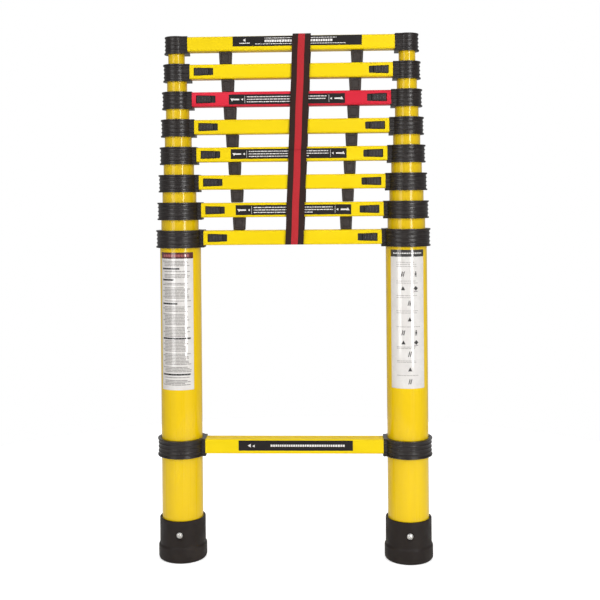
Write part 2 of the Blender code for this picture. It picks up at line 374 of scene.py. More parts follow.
def webbing():
    """Woven strap: a twill of thick yarns, black with a broad red stripe down the middle, with painted light on
    the raised yarns and painted shade between them.
    """
    finish = Finish(
        "strap_webbing", (0.02, 0.012, 0.011), 0.8,
        **{"Specular IOR Level": 0.15, "Sheen Weight": 0.06},
    )
    place = finish.tree.nodes.new("ShaderNodeSeparateXYZ")
    finish.link(finish.coordinates(uv=True), place, "Vector")
    across, along = place.outputs["X"], place.outputs["Y"]
    # UVs are in millimetres, with 0 in the middle of the strap
    from_middle = finish.maths("ABSOLUTE", across)
    fray = finish.maths("MULTIPLY", finish.maths("SINE", finish.maths("MULTIPLY", along, 4.4)), 0.12)
    stripe = finish.spread(finish.maths("ADD", from_middle, fray), 1, 0, 4.6, 5.0)
    warp = finish.maths("SINE", finish.maths("MULTIPLY", across, 2 * math.pi / 0.9))
    weft = finish.maths("SINE", finish.maths("MULTIPLY", along, 2 * math.pi / 1.1))
    twill = finish.maths(
        "SINE",
        finish.maths("MULTIPLY", finish.maths("ADD", finish.maths("ABSOLUTE", across), along), 2 * math.pi / 1.8),
    )
    weave = finish.maths(
        "ADD", finish.maths("MULTIPLY", warp, 0.5),
        finish.maths("ADD", finish.maths("MULTIPLY", weft, 0.4), twill),
    )
    # The weave's raised yarns are painted lighter and its hollows darker, from the heights that also drive its
    # bump: painted light and shade.
    lit = finish.spread(weave, 0, 1, -1.6, 1.6)
    fibre = finish.noise(3.0, 5, (1, 0.2, 1), uv=True)
    black = finish.mixed(lit, (0.016, 0.008, 0.006), (0.038, 0.020, 0.016))
    red = finish.mixed(lit, (0.40, 0.014, 0.020), (0.58, 0.035, 0.045))
    both = finish.mixed(stripe, black, red)
    finish.colour(finish.mixed(finish.spread(fibre, 0, 0.25, 0.4, 0.8), both, (0.08, 0.03, 0.03)))
    finish.bump(lit, 0.0004, 0.6)
    finish.bump(fibre, 0.0002, 0.25)
    return finish.material


def pale_floor():
    finish = Finish("pale_floor", (0.9, 0.9, 0.9), 0.9, **{"Specular IOR Level": 0.1})
    finish.shader.inputs["Emission Color"].default_value = (1, 1, 1, 1)
    seen = finish.tree.nodes.new("ShaderNodeLightPath")
    finish.link(
        finish.maths("MULTIPLY", seen.outputs["Is Camera Ray"], 0.6), finish.shader,
        "Emission Strength",
    )
    finish.colour(finish.mixed(finish.noise(2, 2), (0.9, 0.9, 0.9), (0.93, 0.93, 0.93)))
    return finish.material


ENAMEL = tube_enamel()
YELLOW_PAINT = rung_paint("yellow_rung_paint", (0.82, 0.60, 0.0), (0.795, 0.58, 0.0), (0.84, 0.62, 0.0))
RED_PAINT = rung_paint("red_rung_paint", (0.66, 0.020, 0.045), (0.61, 0.015, 0.036), (0.71, 0.028, 0.056))
COLLAR_PLASTIC = moulded_plastic("collar_plastic", (0.010, 0.0062, 0.0052), (0.024, 0.018, 0.016))
LOCK_PLASTIC = moulded_plastic("lock_plastic", (0.018, 0.014, 0.0145), (0.034, 0.028, 0.029), grain=3400)
# A darker, rougher copy of the slider plastic: painted shade for the slider's board, seen in the window gap round
# the thumb grip.
BOARD_PLASTIC_PAINTED_SHADE = moulded_plastic(
    "board_plastic_painted_shade", (0.004, 0.003, 0.003), (0.010, 0.008, 0.008), low=0.5, high=0.65,
)
STOP_RUBBER = moulded_plastic(
    "stop_rubber", (0.024, 0.016, 0.013), (0.042, 0.032, 0.028), grain=1800, low=0.5, high=0.7,
)
FOOT_RUBBER = foot_rubber()
STEEL = plated_steel("plated_steel")
SPRING_STEEL = plated_steel("spring_steel", (0.5, 0.49, 0.48), 2400)
WEBBING = webbing()
BLACK_FILM = printed_film("black_film", (0.005, 0.003, 0.003), (0.009, 0.006, 0.006), 0.5, 0.0)
WHITE_FILM = printed_film("white_film", (0.76, 0.735, 0.71), (0.71, 0.68, 0.655), 0.26)
WHITE_INK = printed_film("white_ink", (0.80, 0.78, 0.76), (0.70, 0.67, 0.66), 0.4, 0.2)
GREY_INK = printed_film("grey_ink", (0.30, 0.28, 0.265), (0.38, 0.36, 0.34), 0.3)
BLACK_INK = printed_film("black_ink", (0.02, 0.018, 0.018), (0.05, 0.045, 0.045), 0.3)
RED_INK = printed_film("red_ink", (0.075, 0.006, 0.006), (0.10, 0.009, 0.008), 0.3)
PINK_INK = printed_film("pink_ink", (0.36, 0.085, 0.08), (0.42, 0.12, 0.11), 0.3)


# Tubes


def tube(stile):
    """A drawn tube with softened ends, its own pin hole at the top and the lock hole lower down."""
    inner, low, high = stile.radius - TUBE_WALL, stile.bottom - stile.z, stile.top - stile.z
    ease = 0.0004
    shape = turned(
        [
            (inner, low + ease), (inner + ease, low), (stile.radius - ease, low), (stile.radius, low + ease),
            (stile.radius, high - ease), (stile.radius - ease, high),
            (inner + ease, high), (inner, high - ease),
        ],
        closed=True,
    )
    heights = [0.0] * (stile.section < SECTIONS) + [-RUNG_SPACING] * (stile.section > 1)
    for height in heights:
        drill = rod([(0.0039, inner * 0.8), (0.0039, stile.radius * 1.2)], steps=40)
        shape = combined(shape, "DIFFERENCE", moved(drill, 0, 0, height))
    return shape


# Collars, clamps and caps


def ribs(z, count=3):
    """How far the ribs stand out of a collar's waist at that height, from 0 to RIB_HEIGHT."""
    middle = (COLLAR_BOTTOM + COLLAR_TOP) / 2
    spacing = (COLLAR_TOP - COLLAR_BOTTOM - FLANGE_HEIGHT) / (count + 1)
    offsets = ((z - middle) / spacing - (index - (count - 1) / 2) for index in range(count))
    nearest = min(abs(offset) for offset in offsets) * spacing
    return RIB_HEIGHT * max(0.0, 1 - (nearest / RIB_HALF_WIDTH) ** 2) ** 0.5


def collar_outline(waist, flange, top=COLLAR_TOP, rim=None):
    """(distance out, height) points up a collar's outside: flange, ribbed waist and flange."""
    round_off = 0.0006
    rim = flange if rim is None else rim
    low = [
        (flange - round_off, COLLAR_BOTTOM),
        (flange - 0.25 * round_off, COLLAR_BOTTOM + 0.25 * round_off),
        (flange, COLLAR_BOTTOM + round_off),
        (flange, COLLAR_BOTTOM + FLANGE_HEIGHT - round_off),
        (flange - 0.5 * round_off, COLLAR_BOTTOM + FLANGE_HEIGHT),
        (waist + 0.0002, COLLAR_BOTTOM + FLANGE_HEIGHT + 0.0003),
    ]
    high = [
        (waist + 0.0002, top - FLANGE_HEIGHT - 0.0003),
        (rim - 0.5 * round_off, top - FLANGE_HEIGHT),
        (rim, top - FLANGE_HEIGHT + round_off),
        (rim, top - round_off),
        (rim - 0.25 * round_off, top - 0.25 * round_off),
        (rim - round_off, top),
    ]
    steps = 44
    bottom, end = low[-1][1], high[0][1]
    heights = [bottom + (end - bottom) * step / steps for step in range(1, steps)]
    return low + [(waist + ribs(z), z) for z in heights] + high


def shoulder(stile, top=COLLAR_TOP):
    """The squared part of a collar that meets the rung, with its ribs, and a lip under the rung."""
    side = collar_outline(RUNG_HALF_DEPTH - 0.0006, RUNG_HALF_DEPTH + 0.0008, top)
    outline = [(-out, z) for out, z in side] + [(out, z) for out, z in reversed(side)]
    lip = block(
        (stile.end - 0.004, stile.end + 0.0010), (-0.0150, -0.0050),
        (COLLAR_BOTTOM, -RUNG_HALF_HEIGHT - GAP), bevel=0.0004,
    )
    return combined(extruded(outline, 0, stile.end), "UNION", lip)


def rung_plug(stile):
    """The part of a collar that fills the rung's end, and guides the lock pin."""
    return block((stile.end / 2, stile.end + 0.012), (-0.0096, 0.0085), (-0.0072, 0.0072), bevel=0.0005)


def collar(stile, drilled=True):
    outline = [(stile.radius + out, z) for out, z in collar_outline(WAIST, FLANGE)]
    shape = combined(turned(outline), "UNION", shoulder(stile), rung_plug(stile))
    bore = stile.radius + GAP
    lead = 0.0007  # the mouths of the bore are eased
    bore_tool = turned([
        (bore + lead, COLLAR_BOTTOM - 0.001), (bore + lead, COLLAR_BOTTOM), (bore, COLLAR_BOTTOM + lead),
        (bore, COLLAR_TOP - lead), (bore + lead, COLLAR_TOP), (bore + lead, COLLAR_TOP + 0.001),
    ])
    shape = combined(shape, "DIFFERENCE", bore_tool)
    if drilled:
        drill = rod([(0.0039, bore * 0.5), (0.0039, stile.end + 0.03)], steps=40)
        shape = combined(shape, "DIFFERENCE", drill)
    return shape


def top_cap(stile):
    """A closed collar over the narrowest tube, with a shallow dish in its roof."""
    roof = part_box(f"top_cap_{stile.side}")[1].z - stile.z
    outline = [(stile.radius + out, z) for out, z in collar_outline(WAIST, FLANGE, roof, WAIST + 0.0009)]
    outline += [(stile.radius + 0.001, roof), (stile.radius, roof - 0.0008)]
    shape = combined(turned(outline), "UNION", shoulder(stile), rung_plug(stile))
    bore = stile.radius + GAP
    ceiling = stile.top - stile.z + GAP
    return combined(shape, "DIFFERENCE", turned([(bore, COLLAR_BOTTOM - 0.001), (bore, ceiling)]))


# Rungs, with their stops and plates


def rung_outline(inset=0.0):
    """(y, z) points round a rung: a flat front, a rounder back, and grooves along the tread."""
    depth, height = RUNG_HALF_DEPTH - inset, RUNG_HALF_HEIGHT - inset
    points = []
    corners = ((-1, -1, 0.003, 180), (1, -1, 0.008, 270), (1, 1, 0.008, 0), (-1, 1, 0.003, 90))
    for side_y, side_z, radius, first in corners:
        radius -= inset
        if first == 90 and not inset:
            for groove in range(6):
                y = 0.0045 - 0.0028 * groove
                points += [
                    (y + 0.0006, height), (y + 0.0003, height - 0.0005),
                    (y - 0.0003, height - 0.0005), (y - 0.0006, height),
                ]
        for step in range(9):
            angle = math.radians(first + 90 * step / 8)
            points.append((
                side_y * (depth - radius) + radius * math.cos(angle),
                side_z * (height - radius) + radius * math.sin(angle),
            ))
    return points


def rung(name, section):
    """A hollow extrusion, with a window in the front for each thumb grip."""
    low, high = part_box(name)
    shape = extruded(rung_outline(), low.x, high.x)
    shape = combined(shape, "DIFFERENCE", extruded(rung_outline(RUNG_WALL), low.x - 0.01, high.x + 0.01))
    if name == f"rung_{section}":
        start = low.x - GAP
        window = block(
            (start + 0.0062, start + 0.0345), (-0.02, -0.012), (-0.0060, 0.0060), bevel=0.0011,
            taper=0.86,
        )
        shape = combined(shape, "DIFFERENCE", window, mirrored(window.copy()))
    return moved(shape, 0, 0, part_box(name)[1].z - RUNG_HALF_HEIGHT)


def stop(middle, top, drop):
    """A rubber finger spacer: a tapered block with a sunk panel front and back."""
    bm = bmesh.new()
    size = Vector((0.018, 0.018, drop))
    bmesh.ops.create_cube(
        bm, size=1, matrix=Matrix.Translation((0, 0, -drop / 2)) @ Matrix.Diagonal((*size, 1)),
    )
    low = [corner for corner in bm.verts if corner.co.z < -drop / 2]
    bmesh.ops.scale(bm, verts=low, vec=(0.90, 0.94, 1))
    bmesh.ops.bevel(
        bm, geom=bm.edges, offset=0.0012, offset_type="OFFSET", affect="EDGES", segments=3,
        profile=0.5, material=-1,
    )
    bm.normal_update()
    faces = [face for face in bm.faces if abs(face.normal.y) > 0.95 and face.calc_area() > 1e-4]
    bmesh.ops.inset_region(bm, faces=faces, thickness=0.0030, depth=0.0)
    bmesh.ops.inset_region(bm, faces=faces, thickness=0.0008, depth=-0.0012)
    return moved(cleaned(bm), middle, 0, top)


def marks_on(bm, bars, front, slot):
    """Adds flat marks to a plate: (x0, x1, z0, z1) bars a film's thickness proud of it."""
    for x0, x1, z0, z1 in bars:
        made = bmesh.ops.create_cube(
            bm, size=1,
            matrix=Matrix.Translation(((x0 + x1) / 2, front, (z0 + z1) / 2))
            @ Matrix.Diagonal((abs(x1 - x0), 0.00012, abs(z1 - z0), 1)),
        )
        for face in {face for corner in made["verts"] for face in corner.link_faces}:
            face.material_index = slot


def pointer(bm, x, z, direction, front, slot, size=0.0019):
    """A three-cornered mark whose tip points along X or up."""
    turn = {"left": math.pi, "right": 0.0, "up": math.pi / 2}[direction]
    made = bmesh.ops.create_cone(
        bm, cap_ends=True, segments=3, radius1=size, radius2=size, depth=0.00012,
        matrix=(
            Matrix.Translation((x, front, z)) @ Matrix.Rotation(math.pi / 2, 4, "X")
            @ Matrix.Rotation(turn, 4, "Z")
        ),
    )
    for face in {face for corner in made["verts"] for face in corner.link_faces}:
        face.material_index = slot


def ruled_line(rng, start, end, z, height, shortest=0.0012, longest=0.0052, space=0.0007):
    """Short dashes in a row, which stand for a line of print."""
    bars, x = [], start
    while x < end - shortest:
        width = min(rng.uniform(shortest, longest), end - x)
        bars.append((x, x + width, z - height / 2, z + height / 2))
        x += width + space
    return bars


def plate(section, x0, x1, z0, z1, style):
    """A black plate on a rung's front, with arrows towards both ends or with plain lines."""
    rng = random.Random(section)
    front = -RUNG_HALF_DEPTH - 0.00015
    bm = block((x0, x1), (front - 0.0001, front + 0.0001), (z0, z1))
    face = front - 0.00013
    middle = (z0 + z1) / 2
    if style == "arrows":
        for end, away, direction in ((x0, 1, "left"), (x1, -1, "right")):
            pointer(bm, end + away * 0.0048, middle, direction, face, 1, 0.0028)
            marks_on(
                bm, [(end + away * 0.0055, end + away * 0.0150, middle - 0.0010, middle + 0.0010)],
                face, 1,
            )
            pointer(bm, end + away * 0.0195, middle, "up", face, 1, 0.0020)
            marks_on(bm, [(end + away * 0.0228, end + away * 0.0232, z0 + 0.002, z1 - 0.002)], face, 1)
        rows = [middle + 0.0036, middle, middle - 0.0036]
        for row, z in enumerate(rows):
            reach = x1 - 0.026 - (0.028 if row == 2 else 0.0)
            marks_on(bm, ruled_line(rng, x0 + 0.026, reach, z, 0.0012), face, 1)
    elif style == "heading":
        pointer(bm, x0 + 0.0170, middle + 0.0016, "up", face, 1, 0.0026)
        marks_on(bm, ruled_line(rng, x0 + 0.0095, x0 + 0.0250, middle - 0.0028, 0.0014), face, 1)
        marks_on(bm, ruled_line(rng, x0 + 0.046, x1 - 0.036, middle + 0.0042, 0.0009), face, 1)
        marks_on(
            bm,
            ruled_line(rng, x0 + 0.046, x1 - 0.040, middle + 0.0002, 0.0032, 0.0022, 0.0034, 0.0008),
            face, 1,
        )
        marks_on(bm, ruled_line(rng, x0 + 0.032, x1 - 0.022, middle - 0.0040, 0.0009), face, 1)
    else:
        marks_on(bm, ruled_line(rng, x0 + 0.046, x1 - 0.010, middle, 0.0030, 0.0018, 0.0030, 0.0008), face, 1)
        pointer(bm, x0 + 0.016, middle, "up", face, 1, 0.0030)
        pointer(bm, x0 + 0.022, middle - 0.0006, "up", face, 1, 0.0022)
    return moved(bm, 0, 0, rung_middle(section) if section else 0.163)


# The thumb locks


def lock_slider(stile):
    """A tapered thumb grip with finger ridges, on the plate that slides behind the rung's front. The plate takes
    a darker copy of the plastic as painted shade in the gap round the grip.
    """
    end = stile.end
    grip = block(
        (end + 0.0072, end + 0.0272), (-0.0158, -0.0122), (-0.0053, 0.0053), bevel=0.0009,
        taper=0.86,
    )
    for ridge in range(4):
        x = end + 0.0105 + 0.0042 * ridge
        height = 0.0036 - 0.00025 * ridge
        bar = block((x, x + 0.0016), (-0.0163, -0.0150), (-height, height), bevel=0.0004, segments=2)
        grip = combined(grip, "UNION", bar)
    board = block((end + 0.0006, end + 0.037), (-0.0126, -0.0104), (-0.0069, 0.0069), bevel=0.0004)
    post = block((end + 0.013, end + 0.019), (-0.0108, 0.0052), (-0.0048, 0.0048), bevel=0.0005)
    shape = combined(board, "UNION", grip, post)
    tip = stile.radius - 0.003
    shape = combined(shape, "DIFFERENCE", rod([(0.0036, tip), (0.0036, end + 0.05)]))
    # Faces behind the grip take the second material, the darker copy: painted shade in the gap round the grip.
    for face in shape.faces:
        face.material_index = int(face.calc_center_median().y > -0.01265)
    return shape


def lock_pin(stile, inner_radius):
    """A turned pin with a rounded nose, and a thin tail that guides its spring."""
    nose = inner_radius + GAP - 0.0005
    tail = stile.end + 0.030
    return rod([
        (0.0018, nose), (0.0029, nose + 0.0005), (0.0034, nose + 0.0016),
        (0.0034, stile.end + SPRING_START - 0.0012),
        (0.0030, stile.end + SPRING_START - 0.0006), (0.0017, stile.end + SPRING_START - 0.0006),
        (0.0017, tail - 0.0005), (0.0012, tail),
    ])


def coil_spring(start, end, coil=0.0027, wire=0.00035, turns=7):
    """Round wire wound along X."""
    bm = bmesh.new()
    bmesh.ops.create_circle(
        bm, cap_ends=True, segments=8, radius=wire,
        matrix=Matrix.Translation((start + wire, 0, coil)) @ Matrix.Rotation(math.pi / 2, 4, "X"),
    )
    steps = turns * 18
    length = end - start - 2 * wire
    bmesh.ops.spin(
        bm, geom=bm.verts[:] + bm.edges[:] + bm.faces[:], cent=(0, 0, 0), axis=(1, 0, 0),
        dvec=(length / steps, 0, 0), angle=2 * math.pi * turns, steps=steps,
    )
    return cleaned(bm)


def spring_seat(stile):
    """A small bulkhead across the rung that the spring pushes against."""
    start = stile.end + SPRING_END
    seat = block((start, start + 0.0022), (-0.0095, 0.0118), (-0.0080, 0.0080), bevel=0.0004)
    return combined(seat, "DIFFERENCE", rod([(0.0022, start - 0.01), (0.0022, start + 0.01)]))


# Feet


def foot(stile):
    """A moulded boot: a bulging sole under a sleeve, a tread cut in the sole, and a sunk screw seat."""
    bore = stile.radius + GAP
    sole = [
        (0.0298 + 0.005 * math.sin(math.radians(a)), 0.005 - 0.005 * math.cos(math.radians(a)))
        for a in range(0, 91, 9)
    ]
    step = [
        (0.0348, 0.0195), (0.0347, 0.0204), (0.0344, 0.0211), (0.0337, 0.0219), (0.0332, 0.0228),
        (0.0330, 0.0240),
    ]
    rim = [(0.0330, 0.0590), (0.0328, 0.0597), (0.0323, 0.0600), (bore + 0.0006, 0.0600), (bore, 0.0594)]
    shape = turned(sole + step + rim + [(bore, 0.006)])
    for offset in (-0.018, -0.006, 0.006, 0.018):
        groove = block((-0.05, 0.05), (offset - 0.0015, offset + 0.0015), (-0.002, 0.0016))
        shape = combined(shape, "DIFFERENCE", groove)
    seat = rod([(0.0062, 0.0314), (0.0066, 0.040)], steps=48)
    bmesh.ops.rotate(seat, verts=seat.verts, cent=(0, 0, 0), matrix=Matrix.Rotation(-math.pi / 2, 3, "Z"))
    return combined(shape, "DIFFERENCE", moved(seat, 0, 0, 0.0405))


def foot_screw():
    """A domed screw head with a cross recess, on a washer."""
    washer = rod([(0.0040, 0.0), (0.0043, 0.0001), (0.0043, 0.0004), (0.0040, 0.0005)], steps=40)
    angles = [math.radians(degrees) for degrees in range(0, 86, 12)]
    dome = [(0.0038 * math.cos(a), 0.0008 + 0.0017 * math.sin(a)) for a in angles]
    head = rod([(0.0038, 0.0004)] + dome, steps=40)
    for turn in (math.radians(20), math.radians(110)):
        slot_tool = block((0.0012, 0.006), (-0.0024, 0.0024), (-0.0006, 0.0006))
        bmesh.ops.rotate(
            slot_tool, verts=slot_tool.verts, cent=(0, 0, 0), matrix=Matrix.Rotation(turn, 3, "X"),
        )
        head = combined(head, "DIFFERENCE", slot_tool)
    shape = combined(head, "UNION", washer)
    bmesh.ops.rotate(shape, verts=shape.verts, cent=(0, 0, 0), matrix=Matrix.Rotation(-math.pi / 2, 3, "Z"))
    return moved(shape, 0, -0.0314, 0.0405)


# White panels on the widest tubes


def wrapped(bm, radius, facing):
    """Bends a flat print, drawn on X and Z, round a tube. facing is where its middle points."""
    for corner in bm.verts:
        angle = facing + corner.co.x / radius
        reach = radius - corner.co.y
        corner.co = (reach * math.sin(angle), -reach * math.cos(angle), corner.co.z)
    return cleaned(bm)


def bent_bars(bm, bars, height, slot):
    """Marks for a curved panel, cut into short lengths so that they can bend."""
    for x0, x1, z0, z1 in bars:
        pieces = max(1, math.ceil((x1 - x0) / 0.003))
        for index in range(pieces):
            start = x0 + (x1 - x0) * index / pieces
            stop_at = x0 + (x1 - x0) * (index + 1) / pieces
            made = bmesh.ops.create_cube(
                bm, size=1,
                matrix=Matrix.Translation(((start + stop_at) / 2, -height, (z0 + z1) / 2))
                @ Matrix.Diagonal((stop_at - start, 0.00010, z1 - z0, 1)),
            )
            for face in {face for corner in made["verts"] for face in corner.link_faces}:
                face.material_index = slot


def panel_film(width, low, high):
    """The film itself, from slices that let it bend."""
    bm = bmesh.new()
    bmesh.ops.create_grid(
        bm, x_segments=36, y_segments=1, size=0.5,
        matrix=Matrix.Translation((0, 0, (low + high) / 2))
        @ Matrix.Rotation(math.pi / 2, 4, "X")
        @ Matrix.Diagonal((width, high - low, 1, 1)),
    )
    bmesh.ops.solidify(bm, geom=bm.faces, thickness=0.00012)
    return cleaned(bm)


def text_panel(low, high):
    """A white panel with a dark heading band, short bold lines and rows of fine print."""
    rng = random.Random(11)
    bm = panel_film(PANEL_WIDTH, low, high)
    left, right = -PANEL_WIDTH / 2, PANEL_WIDTH / 2
    height = high - low
    bent_bars(bm, [(left, right, high - 0.0088, high)], PRINT, 1)
    bent_bars(
        bm,
        ruled_line(rng, left + 0.006, right - 0.004, high - 0.0045, 0.0034, 0.003, 0.0042, 0.0009),
        HEADING_PRINT, 5,
    )
    headings = ((0.118, 0.031), (0.199, 0.020), (0.372, 0.026), (0.625, 0.044), (0.887, 0.044))
    for fraction, length in headings:
        z = high - fraction * height
        bent_bars(
            bm,
            ruled_line(rng, left + 0.004, left + 0.004 + length, z, 0.0024, 0.0030, 0.0050, 0.0002),
            PRINT, 3,
        )
    rows = int((height - 0.016) / 0.0021)
    for row in range(rows):
        z = high - 0.0125 - 0.0021 * row
        if any(abs(z - (high - fraction * height)) < 0.0030 for fraction, _ in headings):
            continue
        if z < low + 0.004 or row % 9 == 8:
            continue
        indent = 0.004 + (0.0035 if row % 4 else 0.0)
        bent_bars(
            bm,
            ruled_line(rng, left + indent, right - rng.uniform(0.004, 0.012), z, 0.0012, 0.004, 0.010, 0.0005),
            PRINT, 2,
        )
    return bm


def plain_sign(bm, x, z, kind, slot):
    """One of four small signs: a leaning ladder, a figure, a wedge, and a diamond over a line."""
    if kind == 0:
        for lean in (-0.0014, 0.0014):
            for step in range(5):
                low = z - 0.0036 + 0.0015 * step
                middle = x + lean + 0.0004 * (step - 2)
                bent_bars(bm, [(middle - 0.0005, middle + 0.0005, low, low + 0.0015)], PRINT, slot)
        bent_bars(
            bm,
            [
                (x - 0.0014, x + 0.0014, z + height, z + height + 0.0005)
                for height in (-0.0022, -0.0004, 0.0014)
            ],
            PRINT, slot,
        )
    elif kind == 1:
        bent_bars(
            bm,
            [
                (x - 0.0009, x + 0.0009, z + 0.0018, z + 0.0036),
                (x - 0.0013, x + 0.0013, z - 0.0014, z + 0.0015),
            ],
            PRINT, slot,
        )
        bent_bars(
            bm,
            [
                (x - 0.0012, x - 0.0004, z - 0.0040, z - 0.0014),
                (x + 0.0004, x + 0.0012, z - 0.0040, z - 0.0014),
            ],
            PRINT, slot,
        )
    elif kind == 2:
        for step in range(6):
            reach = 0.0028 * (1 - step / 6)
            bent_bars(
                bm,
                [(x - reach, x + reach, z - 0.0026 + 0.0009 * step, z - 0.0017 + 0.0009 * step)],
                PRINT, slot,
            )
    else:
        for step in range(7):
            reach = 0.0032 * (1 - abs(step - 3) / 4)
            bent_bars(
                bm,
                [(x - reach, x + reach, z - 0.0032 + 0.0009 * step, z - 0.0023 + 0.0009 * step)],
                PRINT, slot,
            )
        bent_bars(bm, [(x - 0.0030, x + 0.0030, z - 0.0048, z - 0.0042)], PRINT, slot)


def sign_panel(low, high):
    """A white panel with a dark heading band and rows of small plain signs."""
    rng = random.Random(23)
    bm = panel_film(PANEL_WIDTH, low, high)
    left, right = -PANEL_WIDTH / 2, PANEL_WIDTH / 2
    height = high - low
    bent_bars(bm, [(left, right, high - 0.0098, high)], PRINT, 3)
    bent_bars(
        bm,
        ruled_line(rng, left + 0.005, right - 0.004, high - 0.0049, 0.0016, 0.002, 0.003, 0.0007),
        HEADING_PRINT, 4,
    )
    rows = (
        (0.175, 2), (0.278, 2), (0.385, 1), (0.502, 1), (0.598, 2), (0.668, 2), (0.752, 1),
        (0.862, 1), (0.950, 1),
    )
    for row, (fraction, count) in enumerate(rows):
        for index in range(count):
            x = 0.0028 + (index - (count - 1) / 2) * 0.0184
            plain_sign(bm, x, high - fraction * height, (2 * row + index) % 4, 3)
    captions = (
        0.09, 0.105, 0.12, 0.225, 0.24, 0.33, 0.345, 0.44, 0.455, 0.555,
        0.70, 0.71, 0.80, 0.81, 0.905,
    )
    for fraction in captions:
        z = high - fraction * height
        bent_bars(
            bm,
            ruled_line(rng, left + 0.010, right - rng.uniform(0.006, 0.018), z, 0.0007, 0.002, 0.006, 0.0006),
            PRINT, 2,
        )
    return bm


# The strap


def strap_path(inner, top, low, spread, corner=0.0045):
    """(y, z) points from the front leg's end, over the top rung, to the back leg's end."""
    points = []
    for step in range(31):
        share = step / 30
        z = low + (top - corner - low) * share
        points.append((-inner - spread * (1 - share) ** 1.5, z))
    for step in range(1, 9):
        angle = math.radians(90 * step / 8)
        points.append((-inner + corner - corner * math.cos(angle), top - corner + corner * math.sin(angle)))
    return points + [(-y, z) for y, z in reversed(points)]


def strap_band(path, width, x_at, sway=0.0):
    """Flat webbing along a path in Y and Z, with UVs in millimetres."""
    columns = 14
    bm = bmesh.new()
    layer = bm.loops.layers.uv.new("weave")
    lengths = [0.0]
    for (y0, z0), (y1, z1) in zip(path, path[1:]):
        lengths.append(lengths[-1] + math.hypot(y1 - y0, z1 - z0))
    row = [
        bm.verts.new((width * (column / columns - 0.5), path[0][0], path[0][1]))
        for column in range(columns + 1)
    ]
    edges = [bm.edges.new(pair) for pair in zip(row, row[1:])]
    rows = [row]
    for (y0, z0), (y1, z1) in zip(path, path[1:]):
        made = bmesh.ops.extrude_edge_only(bm, edges=edges)["geom"]
        row = [item for item in made if isinstance(item, bmesh.types.BMVert)]
        edges = [
            item for item in made
            if isinstance(item, bmesh.types.BMEdge) and all(end in row for end in item.verts)
        ]
        bmesh.ops.translate(bm, verts=row, vec=(0, y1 - y0, z1 - z0))
        rows.append(sorted(row, key=lambda corner: corner.co.x))
    place = {}
    for index, row in enumerate(rows):
        for column, corner in enumerate(row):
            place[corner] = (1000 * width * (column / columns - 0.5), 1000 * lengths[index])
    for face in bm.faces:
        for loop in face.loops:
            loop[layer].uv = place[loop.vert]
    for index, row in enumerate(rows):
        slack = sway * math.sin(2 * math.pi * lengths[index] / 0.079)
        for corner in row:
            corner.co.x += x_at(corner.co.z) + slack
    bmesh.ops.recalc_face_normals(bm, faces=bm.faces)
    return bm


def add_strap():
    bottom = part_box("carry_strap")[0].z
    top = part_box("top_rung")[1].z

    def x_at(z):
        return 0.0160 + 0.0435 * (z - top)

    inner = RUNG_HALF_DEPTH + 0.0009
    lower = strap_band(strap_path(inner, top + 0.0009, bottom, 0.0016), STRAP_WIDTH, x_at, 0.0002)
    strap = piece(
        "carry_strap_webbing", lower, "section_8", WEBBING,
        replaces=["carry_strap"], slot="strap_webbing", even=False,
    )
    front = [
        point for point in strap_path(inner + 0.0014, top + 0.0022, bottom, 0.0016)
        if point[0] < 0 and point[1] > OVERLAP_BOTTOM
    ]
    overlap = strap_band([(front[0][0], OVERLAP_BOTTOM)] + front, STRAP_WIDTH, x_at, 0.0002)
    tab = piece("carry_strap_overlap", overlap, "section_8", WEBBING, slot="strap_webbing", even=False)
    for band, thickness in ((strap, 0.0012), (tab, 0.0011)):
        solid = band.modifiers.new("thickness", "SOLIDIFY")
        solid.thickness, solid.offset = thickness, 0.0
        edge = band.modifiers.new("soft_edges", "BEVEL")
        edge.width, edge.segments, edge.limit_method = 0.0004, 2, "ANGLE"


# Putting it together


def add_section(section):
    for side in SIDES:
        stile = Stile(section, side)
        key = f"{section}_{side}"
        piece(
            f"stile_tube_{key}", at_stile(tube(Stile(section, "left")), stile), stile.body, ENAMEL,
            replaces=[f"tube_{key}"], slot="stile_yellow",
        )
    left = Stile(section, "left")
    name = rung_name(section)
    paint, slot_name = (RED_PAINT, "rung_red") if section == 6 else (YELLOW_PAINT, "rung_yellow")
    piece(f"{name}_extrusion", rung(name, section), left.body, paint, replaces=[name], slot=slot_name)
    if section > 1:
        reach = -left.x - left.end - 0.045 - 0.009
        drop = rung_middle(section) - rung_middle(section - 1) - 2 * RUNG_HALF_HEIGHT - GAP
        for side, direction in (("left", -1), ("right", 1)):
            shape = stop(direction * reach, rung_middle(section) - RUNG_HALF_HEIGHT, drop)
            piece(f"finger_stop_{section}_{side}", shape, left.body, STOP_RUBBER, slot="foot_rubber")
    if section == SECTIONS:
        cap = top_cap(left)
        for side in SIDES:
            stile = Stile(section, side)
            piece(
                f"stile_cap_{side}", at_stile(cap, stile), stile.body, COLLAR_PLASTIC,
                replaces=[f"top_cap_{side}"], slot="collar_black",
            )
        cap.free()
        return
    shape, slider = collar(left), lock_slider(left)
    pin = lock_pin(left, Stile(section + 1, "left").radius)
    spring = coil_spring(left.end + SPRING_START, left.end + SPRING_END)
    seat = spring_seat(left)
    for side in SIDES:
        stile = Stile(section, side)
        key = f"{section}_{side}"
        lock = f"lock_{key}"
        piece(
            f"ribbed_collar_{key}", at_stile(shape, stile), stile.body, COLLAR_PLASTIC,
            replaces=[f"collar_{key}"], slot="collar_black",
        )
        piece(
            f"thumb_slider_{key}", at_stile(slider, stile), lock, LOCK_PLASTIC, BOARD_PLASTIC_PAINTED_SHADE,
            replaces=[f"lock_slider_{key}"], slot="slider_black",
        )
        piece(f"lock_pin_{key}", at_stile(pin, stile), lock, STEEL)
        coil = piece(f"lock_spring_{key}", at_stile(spring, stile), stile.body, SPRING_STEEL, even=False)
        piece(f"spring_seat_{key}", at_stile(seat, stile), stile.body, LOCK_PLASTIC, slot="slider_black")
        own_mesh(coil)
    for used in (shape, slider, pin, spring, seat):
        used.free()


